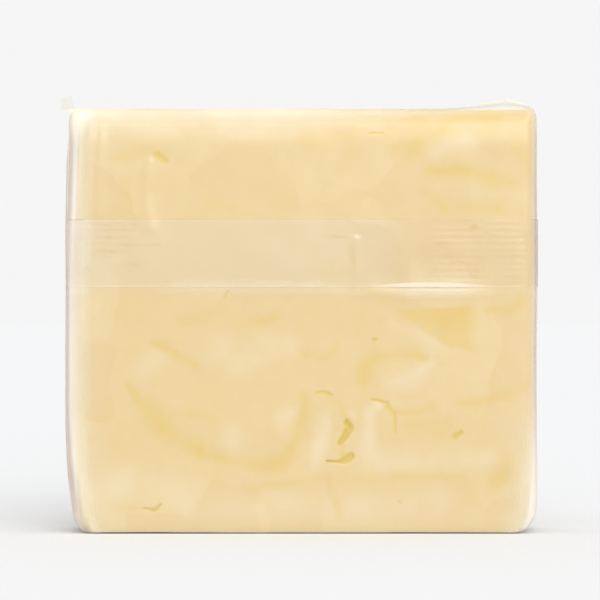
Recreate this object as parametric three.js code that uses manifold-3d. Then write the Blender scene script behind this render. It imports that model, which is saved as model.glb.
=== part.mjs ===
// A block of pale, semi-hard cheese sealed in clear film, standing on one long, narrow side.
//
// Frame: X runs along the block's length, Z is up, and the side with the long back seal faces -Y.
// The origin is the middle of the whole pack's box, at the surface that it stands on. Millimetres.

import * as THREE from 'three';
import { mergeVertices } from 'three/addons/utils/BufferGeometryUtils.js';
import Module from 'manifold-3d';

// The cheese.
const CHEESE_LENGTH = 100.9;
const CHEESE_HEIGHT = 91.8;
const CHEESE_THICKNESS = 22.5;
const CHEESE_EDGE_RADIUS = 3.2;       // along the edges of the two large faces
const CHEESE_CORNER_RADIUS = 4;       // where those edges turn a corner

// The film: its own gauge, and how far it stands off the cheese.
const FILM_GAUGE = 0.1;
const FILM_CLEARANCE = 0.3;
const LEFT_SLACK = 1.4;               // the pack is loose at this end
const LOOSE_CORNER_RADIUS = 5.4;      // the film cuts the lower corner there in a wider curve

// Near the right end the film over the top is tented up into a low peak.
const TENT_START = 32;
const TENT_PEAK = 45;
const TENT_RISE = 2.4;
const TENT_END_RISE = 0.6;

// The back seal: two plies welded together, folded down flat over the back.
const BACK_SEAL_WIDTH = 14.5;
const BACK_SEAL_FOLD_HEIGHT = 68.3;   // the fold along its upper edge
const BACK_SEAL_LENGTH = 97.5;        // the straight stretch, between the rounded ends
const SEAL_GAP = 0.25;                // air between a folded seal and the film that it lies on
const FOLD_WEB = 0.3;                 // film that runs through the fold, along the seal's root

// The end seals: crimped flat and folded over against the ends.
const END_SEAL_WIDTH = 10.5;
const END_SEAL_MARGIN = 3;            // each end seal stops this far from the top and the bottom
const MOUTH_GAP = 0.1;                // between the plies of the seal at the right end
const EAR_WIDTH = 3.3;                // the tip of the left end seal stands up as a small ear
const EAR_RISE = 3;

const CURVE_STEPS = 8;
const BEVEL_STEPS = 6;

const wasm = await Module();
wasm.setup();

// Heights and ends that follow from the sizes above.
const wall = FILM_CLEARANCE + FILM_GAUGE;
const cheeseBox = {
  left: -CHEESE_LENGTH / 2,
  right: CHEESE_LENGTH / 2,
  bottom: wall,
  top: wall + CHEESE_HEIGHT,
};
const filmInside = {
  left: cheeseBox.left - LEFT_SLACK,
  right: cheeseBox.right + FILM_CLEARANCE,
  bottom: FILM_GAUGE,
  top: cheeseBox.top + FILM_CLEARANCE,
};
const filmOutside = {
  left: filmInside.left - FILM_GAUGE,
  right: filmInside.right + FILM_GAUGE,
  bottom: 0,
  top: filmInside.top + FILM_GAUGE,
};
const filmBack = -(CHEESE_THICKNESS / 2 + wall);

// An outline in the plane of the large faces, from corners of [x, z, radius] taken anticlockwise.
// A corner with a radius is rounded off by an arc that meets both of its edges smoothly.
function roundedOutline(corners) {
  const points = corners.map(([x, z]) => new THREE.Vector2(x, z));
  const shape = new THREE.Shape();
  points.forEach((corner, i) => {
    const radius = corners[i][2];
    const back = points[(i + points.length - 1) % points.length].clone().sub(corner).normalize();
    const ahead = points[(i + 1) % points.length].clone().sub(corner).normalize();
    const halfAngle = Math.acos(back.dot(ahead)) / 2;
    const start = corner.clone().addScaledVector(back, radius / Math.tan(halfAngle));
    if (i === 0) shape.moveTo(start.x, start.y);
    else shape.lineTo(start.x, start.y);
    if (radius > 0) {
      const inward = back.clone().add(ahead).setLength(radius / Math.sin(halfAngle));
      const centre = corner.clone().add(inward);
      const from = start.clone().sub(centre).angle();
      shape.absarc(centre.x, centre.y, radius, from, from + Math.PI - 2 * halfAngle, false);
    }
  });
  return shape;
}

// A slab with that outline, centred on the middle of the thickness, its large faces' edges rounded.
function slab(outline, thickness, edgeRadius) {
  const geometry = new THREE.ExtrudeGeometry(outline, {
    depth: thickness - 2 * edgeRadius,
    bevelThickness: edgeRadius,
    bevelSize: edgeRadius,
    bevelOffset: -edgeRadius,
    bevelSegments: BEVEL_STEPS,
    curveSegments: CURVE_STEPS,
  });
  geometry.rotateX(Math.PI / 2);
  geometry.translate(0, thickness / 2 - edgeRadius, 0);
  return geometry;
}

function boxBetween(low, high) {
  const size = high.map((value, i) => value - low[i]);
  const geometry = new THREE.BoxGeometry(...size);
  geometry.translate(...low.map((value, i) => value + size[i] / 2));
  return geometry;
}

function toSolid(geometry) {
  const bare = geometry.index ? geometry.toNonIndexed() : geometry.clone();
  bare.deleteAttribute('normal');
  bare.deleteAttribute('uv');
  const merged = mergeVertices(bare, 1e-4);
  return new wasm.Manifold(new wasm.Mesh({
    numProp: 3,
    vertProperties: new Float32Array(merged.attributes.position.array),
    triVerts: new Uint32Array(merged.index.array),
  }));
}

function toGeometry(solid) {
  const { vertProperties, triVerts } = solid.getMesh();
  const geometry = new THREE.BufferGeometry();
  geometry.setAttribute('position', new THREE.BufferAttribute(vertProperties, 3));
  geometry.setIndex(new THREE.BufferAttribute(triVerts, 1));
  geometry.computeVertexNormals();
  return geometry;
}

function cheeseBlock() {
  const { left, right, bottom, top } = cheeseBox;
  const r = CHEESE_CORNER_RADIUS;
  const corners = [[left, bottom, r], [right, bottom, r], [right, top, r], [left, top, r]];
  const outline = roundedOutline(corners);
  return toGeometry(toSolid(slab(outline, CHEESE_THICKNESS, CHEESE_EDGE_RADIUS)));
}

// The film's inner or outer surface as a solid: offset is how far it lies outside the cheese.
function filmBody(box, offset) {
  const corner = CHEESE_CORNER_RADIUS + offset;
  const outline = roundedOutline([
    [box.left, box.bottom, LOOSE_CORNER_RADIUS + offset - FILM_CLEARANCE],
    [box.right, box.bottom, corner],
    [box.right, box.top + TENT_END_RISE, corner],
    [TENT_PEAK, box.top + TENT_RISE, 0],
    [TENT_START, box.top, 0],
    [box.left, box.top, corner],
  ]);
  return toSolid(slab(outline, CHEESE_THICKNESS + 2 * offset, CHEESE_EDGE_RADIUS + offset));
}

// Folded down over the back from the fold along its upper edge.
function backSeal() {
  const near = filmBack - SEAL_GAP;
  const far = near - 2 * FILM_GAUGE;
  const left = (filmOutside.left + filmOutside.right - BACK_SEAL_LENGTH) / 2;
  const right = left + BACK_SEAL_LENGTH;
  const fold = BACK_SEAL_FOLD_HEIGHT;
  const plies = boxBetween([left, far, fold - BACK_SEAL_WIDTH], [right, near, fold]);
  const root = boxBetween([left, far, fold - FOLD_WEB], [right, filmBack + FILM_GAUGE / 2, fold]);
  return toSolid(plies).add(toSolid(root));
}

// Folded over against an end, from the middle of the thickness towards +Y. side is -1 or +1.
function endSeal(side, wallX, plies) {
  const near = wallX + side * FILM_CLEARANCE;
  const far = near + side * plies;
  const low = END_SEAL_MARGIN;
  const high = filmOutside.top - END_SEAL_MARGIN;
  const xs = (a, b) => [Math.min(a, b), Math.max(a, b)];
  const [flapLow, flapHigh] = xs(near, far);
  const [rootLow, rootHigh] = xs(wallX - side * FILM_GAUGE / 2, far);
  const flap = boxBetween([flapLow, -FOLD_WEB, low], [flapHigh, END_SEAL_WIDTH, high]);
  const root = boxBetween([rootLow, -FOLD_WEB, low], [rootHigh, 0, high]);
  return toSolid(flap).add(toSolid(root));
}

// The slit between the plies of the right end seal, from the inside of the film to its free edge.
function mouth(wallX) {
  const low = END_SEAL_MARGIN + 1;
  const high = filmOutside.top - END_SEAL_MARGIN - 1;
  const middle = wallX + FILM_CLEARANCE + FILM_GAUGE;
  const through = boxBetween([wallX - wall, -2 * MOUTH_GAP, low], [middle + MOUTH_GAP, -MOUTH_GAP, high]);
  const between = boxBetween([middle, -2 * MOUTH_GAP, low], [middle + MOUTH_GAP, END_SEAL_WIDTH + 1, high]);
  return toSolid(through).add(toSolid(between));
}

// The upper tip of the left end seal, turned to face the back and standing above the pack.
function ear(outerX) {
  const low = filmOutside.top - CHEESE_CORNER_RADIUS;
  const high = filmOutside.top + EAR_RISE;
  const near = -FOLD_WEB;
  const far = near + 2 * FILM_GAUGE;
  return toSolid(boxBetween([outerX, near, low], [outerX + EAR_WIDTH, far, high]));
}

const leftEnd = filmOutside.left - FILM_CLEARANCE - 2 * FILM_GAUGE;
const rightEnd = filmOutside.right + FILM_CLEARANCE + 2 * FILM_GAUGE + MOUTH_GAP;

function filmWrapper() {
  const film = filmBody(filmOutside, wall)
    .add(backSeal())
    .add(endSeal(-1, filmOutside.left, 2 * FILM_GAUGE))
    .add(endSeal(1, filmOutside.right, 2 * FILM_GAUGE + MOUTH_GAP))
    .add(ear(leftEnd))
    .subtract(filmBody(filmInside, FILM_CLEARANCE))
    .subtract(mouth(filmOutside.right));
  return toGeometry(film);
}

function namedMesh(name, geometry, look) {
  const mesh = new THREE.Mesh(geometry, new THREE.MeshStandardMaterial(look));
  mesh.name = name;
  return mesh;
}

const frontFace = -filmBack;
const backFace = filmBack - SEAL_GAP - 2 * FILM_GAUGE;

const wrappedCheese = new THREE.Group();
wrappedCheese.position.set(-(leftEnd + rightEnd) / 2, -(frontFace + backFace) / 2, 0);
wrappedCheese.add(namedMesh('cheese_block', cheeseBlock(), {
  color: 0xf0d7a5,
  roughness: 0.5,
  metalness: 0,
}));
wrappedCheese.add(namedMesh('film_wrapper', filmWrapper(), {
  color: 0xf6f3ec,
  roughness: 0.12,
  metalness: 0,
  transparent: true,
  opacity: 0.25,
}));

export default wrappedCheese;
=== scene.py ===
# %% [markdown]
# A block of pale, semi-hard cheese in clear film, standing on one long, narrow side.
# The CAD model gives every place and size: it is loaded first and never changed. Two pieces are made
# here and stand for its two nodes: the cheese itself, and the one sheet of film that is formed round
# it, welded to itself in a long seal down its back and crimped shut at both ends.

# %% Load the CAD model as a fixed frame
import bpy
import bmesh
import math
import numpy as np
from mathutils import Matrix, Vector, noise


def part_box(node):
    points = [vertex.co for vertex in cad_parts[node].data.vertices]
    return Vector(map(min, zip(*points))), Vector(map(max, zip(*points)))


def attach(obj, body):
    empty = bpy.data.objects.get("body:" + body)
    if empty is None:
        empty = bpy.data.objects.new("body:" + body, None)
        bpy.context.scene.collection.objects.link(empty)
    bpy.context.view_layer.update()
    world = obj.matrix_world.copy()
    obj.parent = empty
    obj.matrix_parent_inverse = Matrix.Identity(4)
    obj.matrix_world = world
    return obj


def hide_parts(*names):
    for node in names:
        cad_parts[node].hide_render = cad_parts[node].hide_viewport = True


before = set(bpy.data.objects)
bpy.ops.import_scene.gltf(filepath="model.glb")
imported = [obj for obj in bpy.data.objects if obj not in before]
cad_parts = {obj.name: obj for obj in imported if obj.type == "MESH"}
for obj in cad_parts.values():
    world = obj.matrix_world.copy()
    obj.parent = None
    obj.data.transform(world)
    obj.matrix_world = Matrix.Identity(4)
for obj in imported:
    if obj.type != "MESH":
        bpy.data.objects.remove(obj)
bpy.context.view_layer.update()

# %% [markdown]
# The script thinks in millimetres, as a ruler would, and Blender works in metres. The block's own box
# comes from the frame and the film is sized from it, so a change in the CAD model moves everything with it.

# %% Sizes taken from the frame
MM = 0.001
cheese_low, cheese_high = (Vector(corner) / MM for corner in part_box("cheese_block"))
cheese_middle = (cheese_low + cheese_high) / 2
cheese_half = (cheese_high - cheese_low) / 2
FLOOR = 0.0
print("cheese, mm:", [round(v, 1) for v in cheese_high - cheese_low])

# %% [markdown]
# Helpers for modelling. An operator acts on all that is selected, so each step first picks exactly the
# faces or edges it wants, by where they are and which way they point.

# %% Helpers: add a box, pick faces or edges
def add_box(name, low, high):
    """A box between two corners, in millimetres, with its origin at the world's."""
    bpy.ops.object.select_all(action="DESELECT")
    bpy.ops.mesh.primitive_cube_add(size=1, location=(low + high) / 2 * MM)
    box = bpy.context.object
    box.name = box.data.name = name
    box.scale = (high - low) * MM
    bpy.ops.object.transform_apply(location=True, rotation=False, scale=True)
    return box


def pick(piece, kind, wanted):
    """In edit mode, selects the faces or edges that wanted() is true of, and returns how many."""
    mesh = bmesh.from_edit_mesh(piece.data)
    bpy.ops.mesh.select_mode(type="FACE" if kind == "faces" else "EDGE")
    bpy.ops.mesh.select_all(action="DESELECT")
    chosen = [item for item in getattr(mesh, kind) if wanted(item)]
    for item in chosen:
        item.select_set(True)
    mesh.select_flush_mode()
    bmesh.update_edit_mesh(piece.data)
    return len(chosen)


def centre_of(face):
    return face.calc_center_median() / MM


def cut_across(piece, axis, length, rows):
    """Cuts the edges that run along the axis and are about that long, until there are that many rows."""
    for parts in (math.ceil(rows / 2), 2):
        def runs_along(edge):
            span = edge.verts[1].co - edge.verts[0].co
            return abs(span.length / MM - length) < 0.01 * length and abs(span[axis]) > 0.99 * span.length
        pick(piece, "edges", runs_along)
        bpy.ops.mesh.subdivide(number_cuts=parts - 1)
        length = length / parts


def places(piece):
    """Every vertex's place in millimetres, as an array with one row each."""
    flat = np.empty(len(piece.data.vertices) * 3)
    piece.data.vertices.foreach_get("co", flat)
    return flat.reshape(-1, 3) / MM


def move_to(piece, spots):
    """Puts every vertex at its row of spots, in millimetres."""
    piece.data.vertices.foreach_set("co", (spots * MM).ravel())
    piece.data.update()


def store(piece, name, values):
    """Keeps one number for each vertex as an attribute, for the material to read."""
    layer = piece.data.attributes.new(name, "FLOAT", "POINT")
    layer.data.foreach_set("value", np.asarray(values, dtype=np.float32))


def smooth(x):
    """0 below 0, 1 above 1, and a soft S in between."""
    x = np.clip(x, 0, 1)
    return x * x * (3 - 2 * x)


def rumple(spots, size, seed):
    """Smooth noise from about -1 to 1 whose bumps are size millimetres apart."""
    shift = Vector((seed * 17.3, seed * 9.1, seed * 5.7))
    return np.array([noise.noise(Vector(spot) / size + shift) for spot in spots])

# %% [markdown]
# The block of cheese is cut from a larger one and pressed a little in its film. Its large faces are
# nearly flat, its edges are soft, and nothing on it is quite true. A box is bevelled and then cut into
# rows of small faces, fine enough on the large faces to carry openings and unevenness as real shape.

# %% Rough out the block
EDGE_RADIUS = 3.3
EDGE_ROWS = 6
FACE_STEP = 0.62
SIDE_STEP = 0.9


def rounded_grid(name, low, high, radius, face_step, side_step):
    """A box with rounded edges, its flat parts cut into rows about a step apart."""
    piece = add_box(name, low, high)
    size = high - low
    bpy.ops.object.mode_set(mode="EDIT")
    bpy.ops.mesh.select_all(action="SELECT")
    bpy.ops.mesh.bevel(offset=radius * MM, segments=EDGE_ROWS, profile=0.5, affect="EDGES")
    for axis, step in ((0, face_step), (2, face_step), (1, side_step)):
        straight = size[axis] - 2 * radius
        cut_across(piece, axis, straight, straight / step)
    bpy.ops.object.mode_set(mode="OBJECT")
    print(name, len(piece.data.polygons), "faces")
    return piece


cheese = rounded_grid("cheese", cheese_low, cheese_high, EDGE_RADIUS, FACE_STEP, SIDE_STEP)

# %% [markdown]
# What marks the cut face: curds that knitted together leave darker, oilier seams between paler
# patches, and where they didn't quite close there are small, crisp openings. Each one is a stroke,
# given as a row of points [x, z, half width] in millimetres from the floor's middle. The number
# before it is an opening's depth in millimetres, or the strength of a seam, a pale patch or a painted glint.

# %% The openings, the seams, the pale patches and the painted glints
OPENINGS = {
    "main": (0.45, [(9.9, 24.3, 0.9), (10.4, 22.9, 1.5), (9.6, 21.2, 1.2), (8.7, 19.7, 0.9)]),
    "below_main": (0.35, [(5.8, 15.9, 0.4), (7.9, 15.5, 0.45), (9.7, 15.9, 1.3), (10.9, 16.8, 1.2)]),
    "hook": (0.12, [(3.2, 30.5, 0.4), (5.4, 30.6, 0.8), (6.6, 30.1, 0.5)]),
    "fork": (0.12, [(15.4, 29.1, 0.4), (17.4, 28.8, 0.5), (18.7, 28.5, 0.7), (18.9, 27.4, 0.9)]),
    "fork_stem": (0.06, [(18.9, 27.4, 0.9), (20.2, 26.3, 0.8), (20.5, 24.6, 0.6), (20.5, 22.2, 0.4)]),
    "right": (0.2, [(33.6, 21.2, 1.1), (34.8, 21.9, 0.9)]),
    "low_left": (0.25, [(-35.4, 5.6, 0.4), (-33.2, 5.2, 0.8), (-31.6, 6.4, 0.45)]),
    "upper_left": (0.12, [(-32.0, 82.2, 1.3), (-30.2, 81.0, 1.2)]),
    "upper_right": (0.12, [(14.8, 87.0, 0.3), (17.8, 87.2, 0.3)]),
    "small": (0.2, [(16.1, 42.4, 0.55), (15.8, 42.0, 0.5)]),
    "tick": (0.12, [(-15.9, 52.5, 0.35), (-16.8, 51.3, 0.25)]),
    "low_dot": (0.08, [(21.8, 6.9, 0.35), (22.1, 6.7, 0.35)]),
}
# The other large face has openings of the same kind, scattered differently.
FAR_OPENINGS = {
    "high": (0.3, [(-22.0, 70.4, 0.5), (-20.2, 71.6, 1.0), (-18.6, 71.2, 0.6)]),
    "bent": (0.35, [(13.0, 60.2, 0.5), (14.8, 58.6, 1.1), (15.0, 56.4, 0.9), (13.8, 55.0, 0.5)]),
    "slit": (0.2, [(28.4, 32.0, 0.35), (31.6, 31.2, 0.6), (33.4, 31.6, 0.35)]),
    "low": (0.3, [(-9.0, 20.2, 0.5), (-7.4, 19.2, 0.9), (-7.2, 17.6, 0.6)]),
    "dot": (0.2, [(-34.2, 38.4, 0.7), (-33.6, 37.8, 0.7)]),
    "small": (0.15, [(37.2, 74.6, 0.5), (38.0, 75.0, 0.5)]),
    "hair": (0.1, [(-2.0, 44.0, 0.3), (0.8, 45.4, 0.4), (3.2, 45.2, 0.3)]),
}
SEAMS = {
    "upper_left": (0.8, [(-41.0, 80.9, 1.1), (-37.9, 82.9, 1.3), (-34.0, 83.4, 1.3), (-30.9, 82.2, 1.3)]),
    "left_smudge": (0.5, [(-39.2, 76.0, 1.6), (-38.8, 74.2, 1.6)]),
    "upper_middle": (0.7, [(11.2, 83.0, 1.7), (13.2, 83.6, 1.5)]),
    "upper_blot": (0.8, [(21.0, 84.0, 1.8), (23.4, 83.4, 2.0), (26.3, 85.5, 1.8), (32.8, 89.2, 2.0)]),
    "upper_warm": (0.5, [(1.0, 87.0, 2.4), (16.0, 86.6, 2.6), (30.0, 88.0, 2.4), (48.0, 88.4, 2.2)]),
    "upper_edge": (0.75, [(32.8, 89.2, 2.0), (37.0, 90.6, 1.8), (43.0, 91.2, 1.6)]),
    "top_spot_a": (0.8, [(-41.6, 90.2, 1.2), (-39.8, 90.4, 1.2)]),
    "top_spot_b": (0.7, [(-22.6, 88.8, 1.0), (-19.6, 88.6, 1.0)]),
    "top_spot_c": (0.6, [(-3.0, 89.2, 1.0), (-1.4, 88.8, 1.0)]),
    "right_side": (0.7, [(46.6, 86.0, 1.6), (49.2, 82.4, 1.8), (49.6, 76.5, 1.6)]),
    "upper_swirl": (0.85, [(28.0, 79.0, 1.2), (35.1, 78.7, 1.5), (40.9, 77.8, 1.5), (46.8, 75.5, 1.3)]),
    "above_band": (0.6, [(27.5, 74.3, 1.0), (29.6, 72.4, 1.1), (31.6, 70.2, 1.2)]),
    "above_band_right": (0.6, [(35.1, 70.9, 1.3), (43.3, 70.9, 1.3)]),
    "middle_smudge": (0.5, [(-21.0, 71.2, 1.7), (-18.2, 72.3, 1.8), (-15.5, 71.4, 1.5)]),
    "faint_smudge": (0.3, [(-4.4, 72.2, 1.6), (-1.6, 72.0, 1.6)]),
    "lens": (0.95, [(-14.0, 45.9, 0.8), (-9.2, 45.9, 1.4), (-6.2, 46.8, 0.9)]),
    "lens_tail": (0.5, [(-26.0, 45.4, 1.2), (-21.5, 46.9, 1.5), (-17.5, 49.0, 1.3)]),
    "left_streak": (0.95, [(-32.1, 41.2, 0.6), (-29.4, 40.7, 1.1), (-26.3, 38.7, 1.1), (-22.9, 36.6, 0.8)]),
    "middle_hook": (0.7, [(1.0, 38.5, 0.9), (5.6, 38.7, 1.0), (7.8, 40.6, 0.8)]),
    "right_of_wedge": (1.0, [(40.9, 48.4, 0.7), (45.1, 48.4, 1.3), (48.8, 51.6, 1.5)]),
    "patch_edge": (0.85, [(13.4, 33.2, 1.5), (14.0, 36.0, 1.9), (16.4, 38.4, 1.3), (22.2, 38.7, 1.2),
                          (26.9, 38.2, 0.8)]),
    "far_left_spot": (0.7, [(-48.0, 36.6, 0.8), (-47.6, 35.4, 0.8)]),
    "bowl_top": (0.9, [(-37.4, 31.9, 0.7), (-34.4, 27.2, 1.9), (-31.2, 24.2, 2.4), (-27.4, 21.4, 2.5)]),
    "bowl_left": (0.8, [(-27.4, 21.4, 2.5), (-24.4, 18.8, 2.0), (-21.2, 17.0, 1.3), (-14.5, 15.6, 1.1)]),
    "bowl_bottom": (0.85, [(-14.5, 15.6, 1.1), (-7.9, 14.7, 1.6), (-5.1, 15.3, 1.8), (-2.3, 18.1, 1.4)]),
    "bowl_right": (0.6, [(-2.3, 18.1, 1.4), (-0.4, 21.6, 1.6), (1.4, 26.4, 1.4), (0.8, 30.4, 1.2)]),
    "bowl_blot": (0.9, [(-2.6, 18.2, 0.9), (-2.0, 19.0, 0.9)]),
    "dash": (0.55, [(-24.4, 25.8, 0.7), (-20.8, 26.2, 0.6), (-18.4, 25.3, 0.5)]),
    "hook_to_main": (0.6, [(6.6, 30.1, 0.7), (8.8, 27.0, 0.8), (9.9, 24.6, 0.9)]),
    "between_openings": (0.7, [(8.8, 19.4, 0.9), (9.4, 17.2, 1.0)]),
    "fork_right": (0.75, [(20.2, 26.3, 0.8), (25.3, 26.2, 0.9), (29.0, 28.2, 1.0)]),
    "right_haze": (0.4, [(24.0, 22.9, 3.0), (31.0, 22.4, 3.0)]),
    "right_streak": (0.9, [(35.0, 28.6, 1.1), (40.0, 28.8, 1.1), (44.5, 29.9, 1.0), (49.8, 32.3, 0.9)]),
    "low_seam": (0.55, [(-12.0, 9.6, 0.7), (-4.0, 10.6, 0.8), (5.1, 12.1, 0.8)]),
    "low_seam_right": (0.45, [(12.2, 11.6, 0.9), (20.0, 11.8, 0.8), (34.0, 13.0, 0.9)]),
    "low_upright": (0.7, [(6.0, 12.2, 0.8), (6.3, 10.3, 0.8), (7.8, 6.6, 0.9), (8.4, 4.0, 0.8)]),
    "low_left": (0.5, [(-42.4, 6.2, 0.6), (-35.6, 5.6, 0.8)]),
    "low_right": (0.75, [(48.6, 18.5, 1.4), (45.1, 14.1, 2.2), (42.1, 9.9, 2.0)]),
    "low_right_dot": (0.5, [(36.6, 7.8, 0.6), (37.0, 7.2, 0.6)]),
    "left_low_blot": (0.4, [(-41.0, 20.4, 1.6), (-40.0, 16.9, 1.6)]),
}
# A wedge of oilier curd with one sharp side: its corners, taken anticlockwise.
WEDGE = [(20.4, 48.5), (32.0, 40.6), (38.4, 39.4), (38.8, 49.6)]
# Pale patches of curd, and three painted highlights: patch_glint, fork_glint and hook_glint are glints
# painted in the pale colour.
PALE_PATCHES_AND_GLINTS = {
    "upper_right": (0.6, [(28.8, 84.0, 1.3), (32.7, 85.0, 1.6), (37.4, 85.8, 1.3)]),
    "under_streak": (0.35, [(-34.4, 35.8, 2.4), (-31.2, 38.2, 2.0)]),
    "over_lens": (0.5, [(-19.0, 40.6, 2.6), (-16.4, 39.8, 2.4)]),
    "under_lens": (0.6, [(-13.4, 37.4, 2.2), (-10.6, 38.8, 2.2)]),
    "lens_right": (0.55, [(-7.5, 41.8, 2.2), (-3.0, 41.6, 2.2)]),
    "beside_wedge": (0.45, [(20.0, 45.6, 0.9), (27.0, 41.6, 1.4), (29.2, 40.8, 1.4)]),
    "patch": (0.7, [(18.8, 32.6, 1.3), (24.5, 34.2, 2.3), (27.4, 37.0, 1.4)]),
    "patch_glint": (0.6, [(23.0, 35.4, 0.8), (24.8, 35.9, 0.8)]),
    "bowl": (0.85, [(-15.2, 21.6, 1.7), (-14.0, 20.4, 1.8)]),
    "bowl_edge": (0.6, [(-3.8, 24.4, 1.7), (-2.2, 25.6, 1.5)]),
    "left_of_openings": (0.75, [(5.3, 25.8, 0.9), (4.6, 20.0, 1.4), (2.2, 13.8, 1.3)]),
    "right_of_openings": (0.7, [(14.6, 26.4, 1.0), (14.2, 21.0, 1.6), (15.4, 15.8, 2.0), (25.1, 15.6, 1.9)]),
    "fork_glint": (0.9, [(16.0, 27.6, 0.7), (16.8, 27.5, 0.7)]),
    "hook_glint": (0.8, [(10.3, 25.9, 0.5), (10.9, 25.4, 0.5)]),
    "under_patch": (0.55, [(25.1, 15.6, 1.9), (33.0, 17.0, 1.9), (40.4, 15.8, 1.8)]),
    "low_left": (0.6, [(-44.0, 10.0, 3.2), (-34.0, 11.4, 3.2), (-25.0, 8.0, 2.8)]),
    "foot": (0.45, [(-20.0, 5.9, 2.6), (14.0, 5.4, 2.4), (30.0, 7.4, 2.4)]),
}

# %% [markdown]
# Painting the strokes. How near a point lies to a stroke, as 1 on its line and 0 at its half width, is
# kept on the mesh as an attribute that the material reads. The points are pushed about by noise first,
# so that no stroke has a ruled edge.

# %% Measure how near each point lies to each stroke
def nearness(spots, stroke):
    """1 on the stroke's line, falling to 0 at its half width, for rows of [x, z]."""
    near = np.zeros(len(spots))
    for (x0, z0, w0), (x1, z1, w1) in zip(stroke, stroke[1:]):
        start, along = np.array((x0, z0)), np.array((x1 - x0, z1 - z0))
        t = np.clip((spots - start) @ along / (along @ along), 0, 1)
        gap = np.linalg.norm(spots - start - t[:, None] * along, axis=1)
        near = np.maximum(near, 1 - gap / (w0 + t * (w1 - w0)))
    return near


def widened(stroke, share):
    return [(x, z, share * w) for x, z, w in stroke]


def inside(spots, corners, softness):
    """1 well inside a convex outline, 0 outside it, with an edge softness millimetres wide."""
    depth = np.full(len(spots), 1e3)
    for (x0, z0), (x1, z1) in zip(corners, corners[1:] + corners[:1]):
        along = np.array((x1 - x0, z1 - z0)) / math.hypot(x1 - x0, z1 - z0)
        depth = np.minimum(depth, (spots - (x0, z0)) @ np.array((-along[1], along[0])))
    return smooth(depth / softness + 0.5)


def wander(spots, size, amount, seed):
    """The face's points, each moved by noise by up to about amount."""
    flat = np.column_stack((spots[:, 0], np.full(len(spots), seed * 3.1), spots[:, 1]))
    return spots + amount * np.column_stack((rumple(flat, size, seed), rumple(flat, size, seed + 1)))

# %% [markdown]
# The openings need finer faces than the rest of the block has, so the faces round them are subdivided
# twice before anything is moved.

# %% Refine the mesh round the openings
OPENING_MARGIN = 0.7
REFINEMENTS = 2


def refine_openings(piece, side, openings):
    """Side is -1 for the back face and 1 for the far one."""
    for _ in range(REFINEMENTS):
        bpy.ops.object.mode_set(mode="EDIT")
        mesh = bmesh.from_edit_mesh(piece.data)
        faces = [f for f in mesh.faces if (centre_of(f).y - cheese_middle.y) * side > cheese_half.y - 0.01]
        centres = np.array([centre_of(f)[:] for f in faces])[:, (0, 2)]
        close = np.zeros(len(faces), dtype=bool)
        for _, stroke in openings.values():
            wide = [(x, z, w + OPENING_MARGIN) for x, z, w in stroke]
            close |= nearness(centres, wide) > 0
        chosen = {f.index for f, near in zip(faces, close) if near}
        pick(piece, "faces", lambda f: f.index in chosen)
        bpy.ops.mesh.subdivide(number_cuts=1)
        bpy.ops.object.mode_set(mode="OBJECT")
    print("with openings refined:", len(piece.data.polygons), "faces")


refine_openings(cheese, -1, OPENINGS)
refine_openings(cheese, 1, FAR_OPENINGS)

# %% [markdown]
# Nothing on a cut and wrapped block is quite true. These helpers say how far its surface strays: slow
# waves, ends that taper a little, a back face that leans in near the top, and edges that are squarer
# than a true arc, most of all at the foot, where its own weight flattens it.

# %% Helpers: how far the surfaces stray from true
UNEVEN = 0.16
LEAN_FROM, LEAN = 84, 0.012
# How far each end is cut short of true, as [height, millimetres].
LEFT_TRIM = [(0, 3.4), (1, 2.7), (3, 2.0), (8, 1.4), (16, 0.5), (28, 0.0), (52, 0.0), (72, 0.8),
             (88, 1.4), (94, 2.0)]
RIGHT_TRIM = [(0, 3.0), (1, 2.3), (3, 1.6), (6, 1.1), (14, 0.4), (24, 0.0), (94, 0.0)]
TRIM_REACH = 50
# How square the rounded edges are: 2 is a true arc, and more fills the corner out.
SQUARE_END, SQUARE_TOP_CORNER, SQUARE_FOOT = 3.0, 4.0, 12.0


def crown(spots):
    """How far the upper part of the back face leans in, in millimetres, where pressing rounded it."""
    return LEAN * np.clip(spots[:, 2] - LEAN_FROM, 0, None) ** 2


def unevenness(spots):
    """How far the cheese's surface stands out from true, in millimetres. The film follows it too."""
    return UNEVEN * rumple(spots, 26, 3) + 0.3 * UNEVEN * rumple(spots, 7, 5)


def trim(spots, left_trim, right_trim):
    """How far each point moves along X, as neither end of the block is cut quite true."""
    share = (spots[:, 0] - cheese_middle.x) / TRIM_REACH
    left = np.interp(spots[:, 2], *zip(*left_trim)) * smooth(-share)
    right = np.interp(spots[:, 2], *zip(*right_trim)) * smooth(share)
    return left - right


def outward(spots, middle, half, radius):
    """The way out of a rounded box at each point."""
    core = np.clip(spots - middle, -(half - radius), half - radius)
    away = spots - middle - core
    return away / np.maximum(np.linalg.norm(away, axis=1), 1e-9)[:, None]


def square_up(spots, middle, half, radius):
    """The points of a rounded box with some of its edges filled out towards a square corner."""
    core = np.clip(spots - middle, -(half - radius), half - radius)
    away = spots - middle - core
    limit = np.maximum(radius, np.abs(away))
    top = spots[:, 2] > middle[2]
    for a, b, squareness in ((0, 2, np.where(top, SQUARE_TOP_CORNER, 2)), (0, 1, SQUARE_END),
                             (1, 2, np.where(top, 2, SQUARE_FOOT))):
        first, second = np.abs(away[:, a]) + 1e-9, np.abs(away[:, b]) + 1e-9
        fill = np.hypot(first, second) / (first ** squareness + second ** squareness) ** (1 / squareness)
        away[:, a] *= fill
        away[:, b] *= fill
    return middle + core + np.clip(away, -limit, limit)
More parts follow.
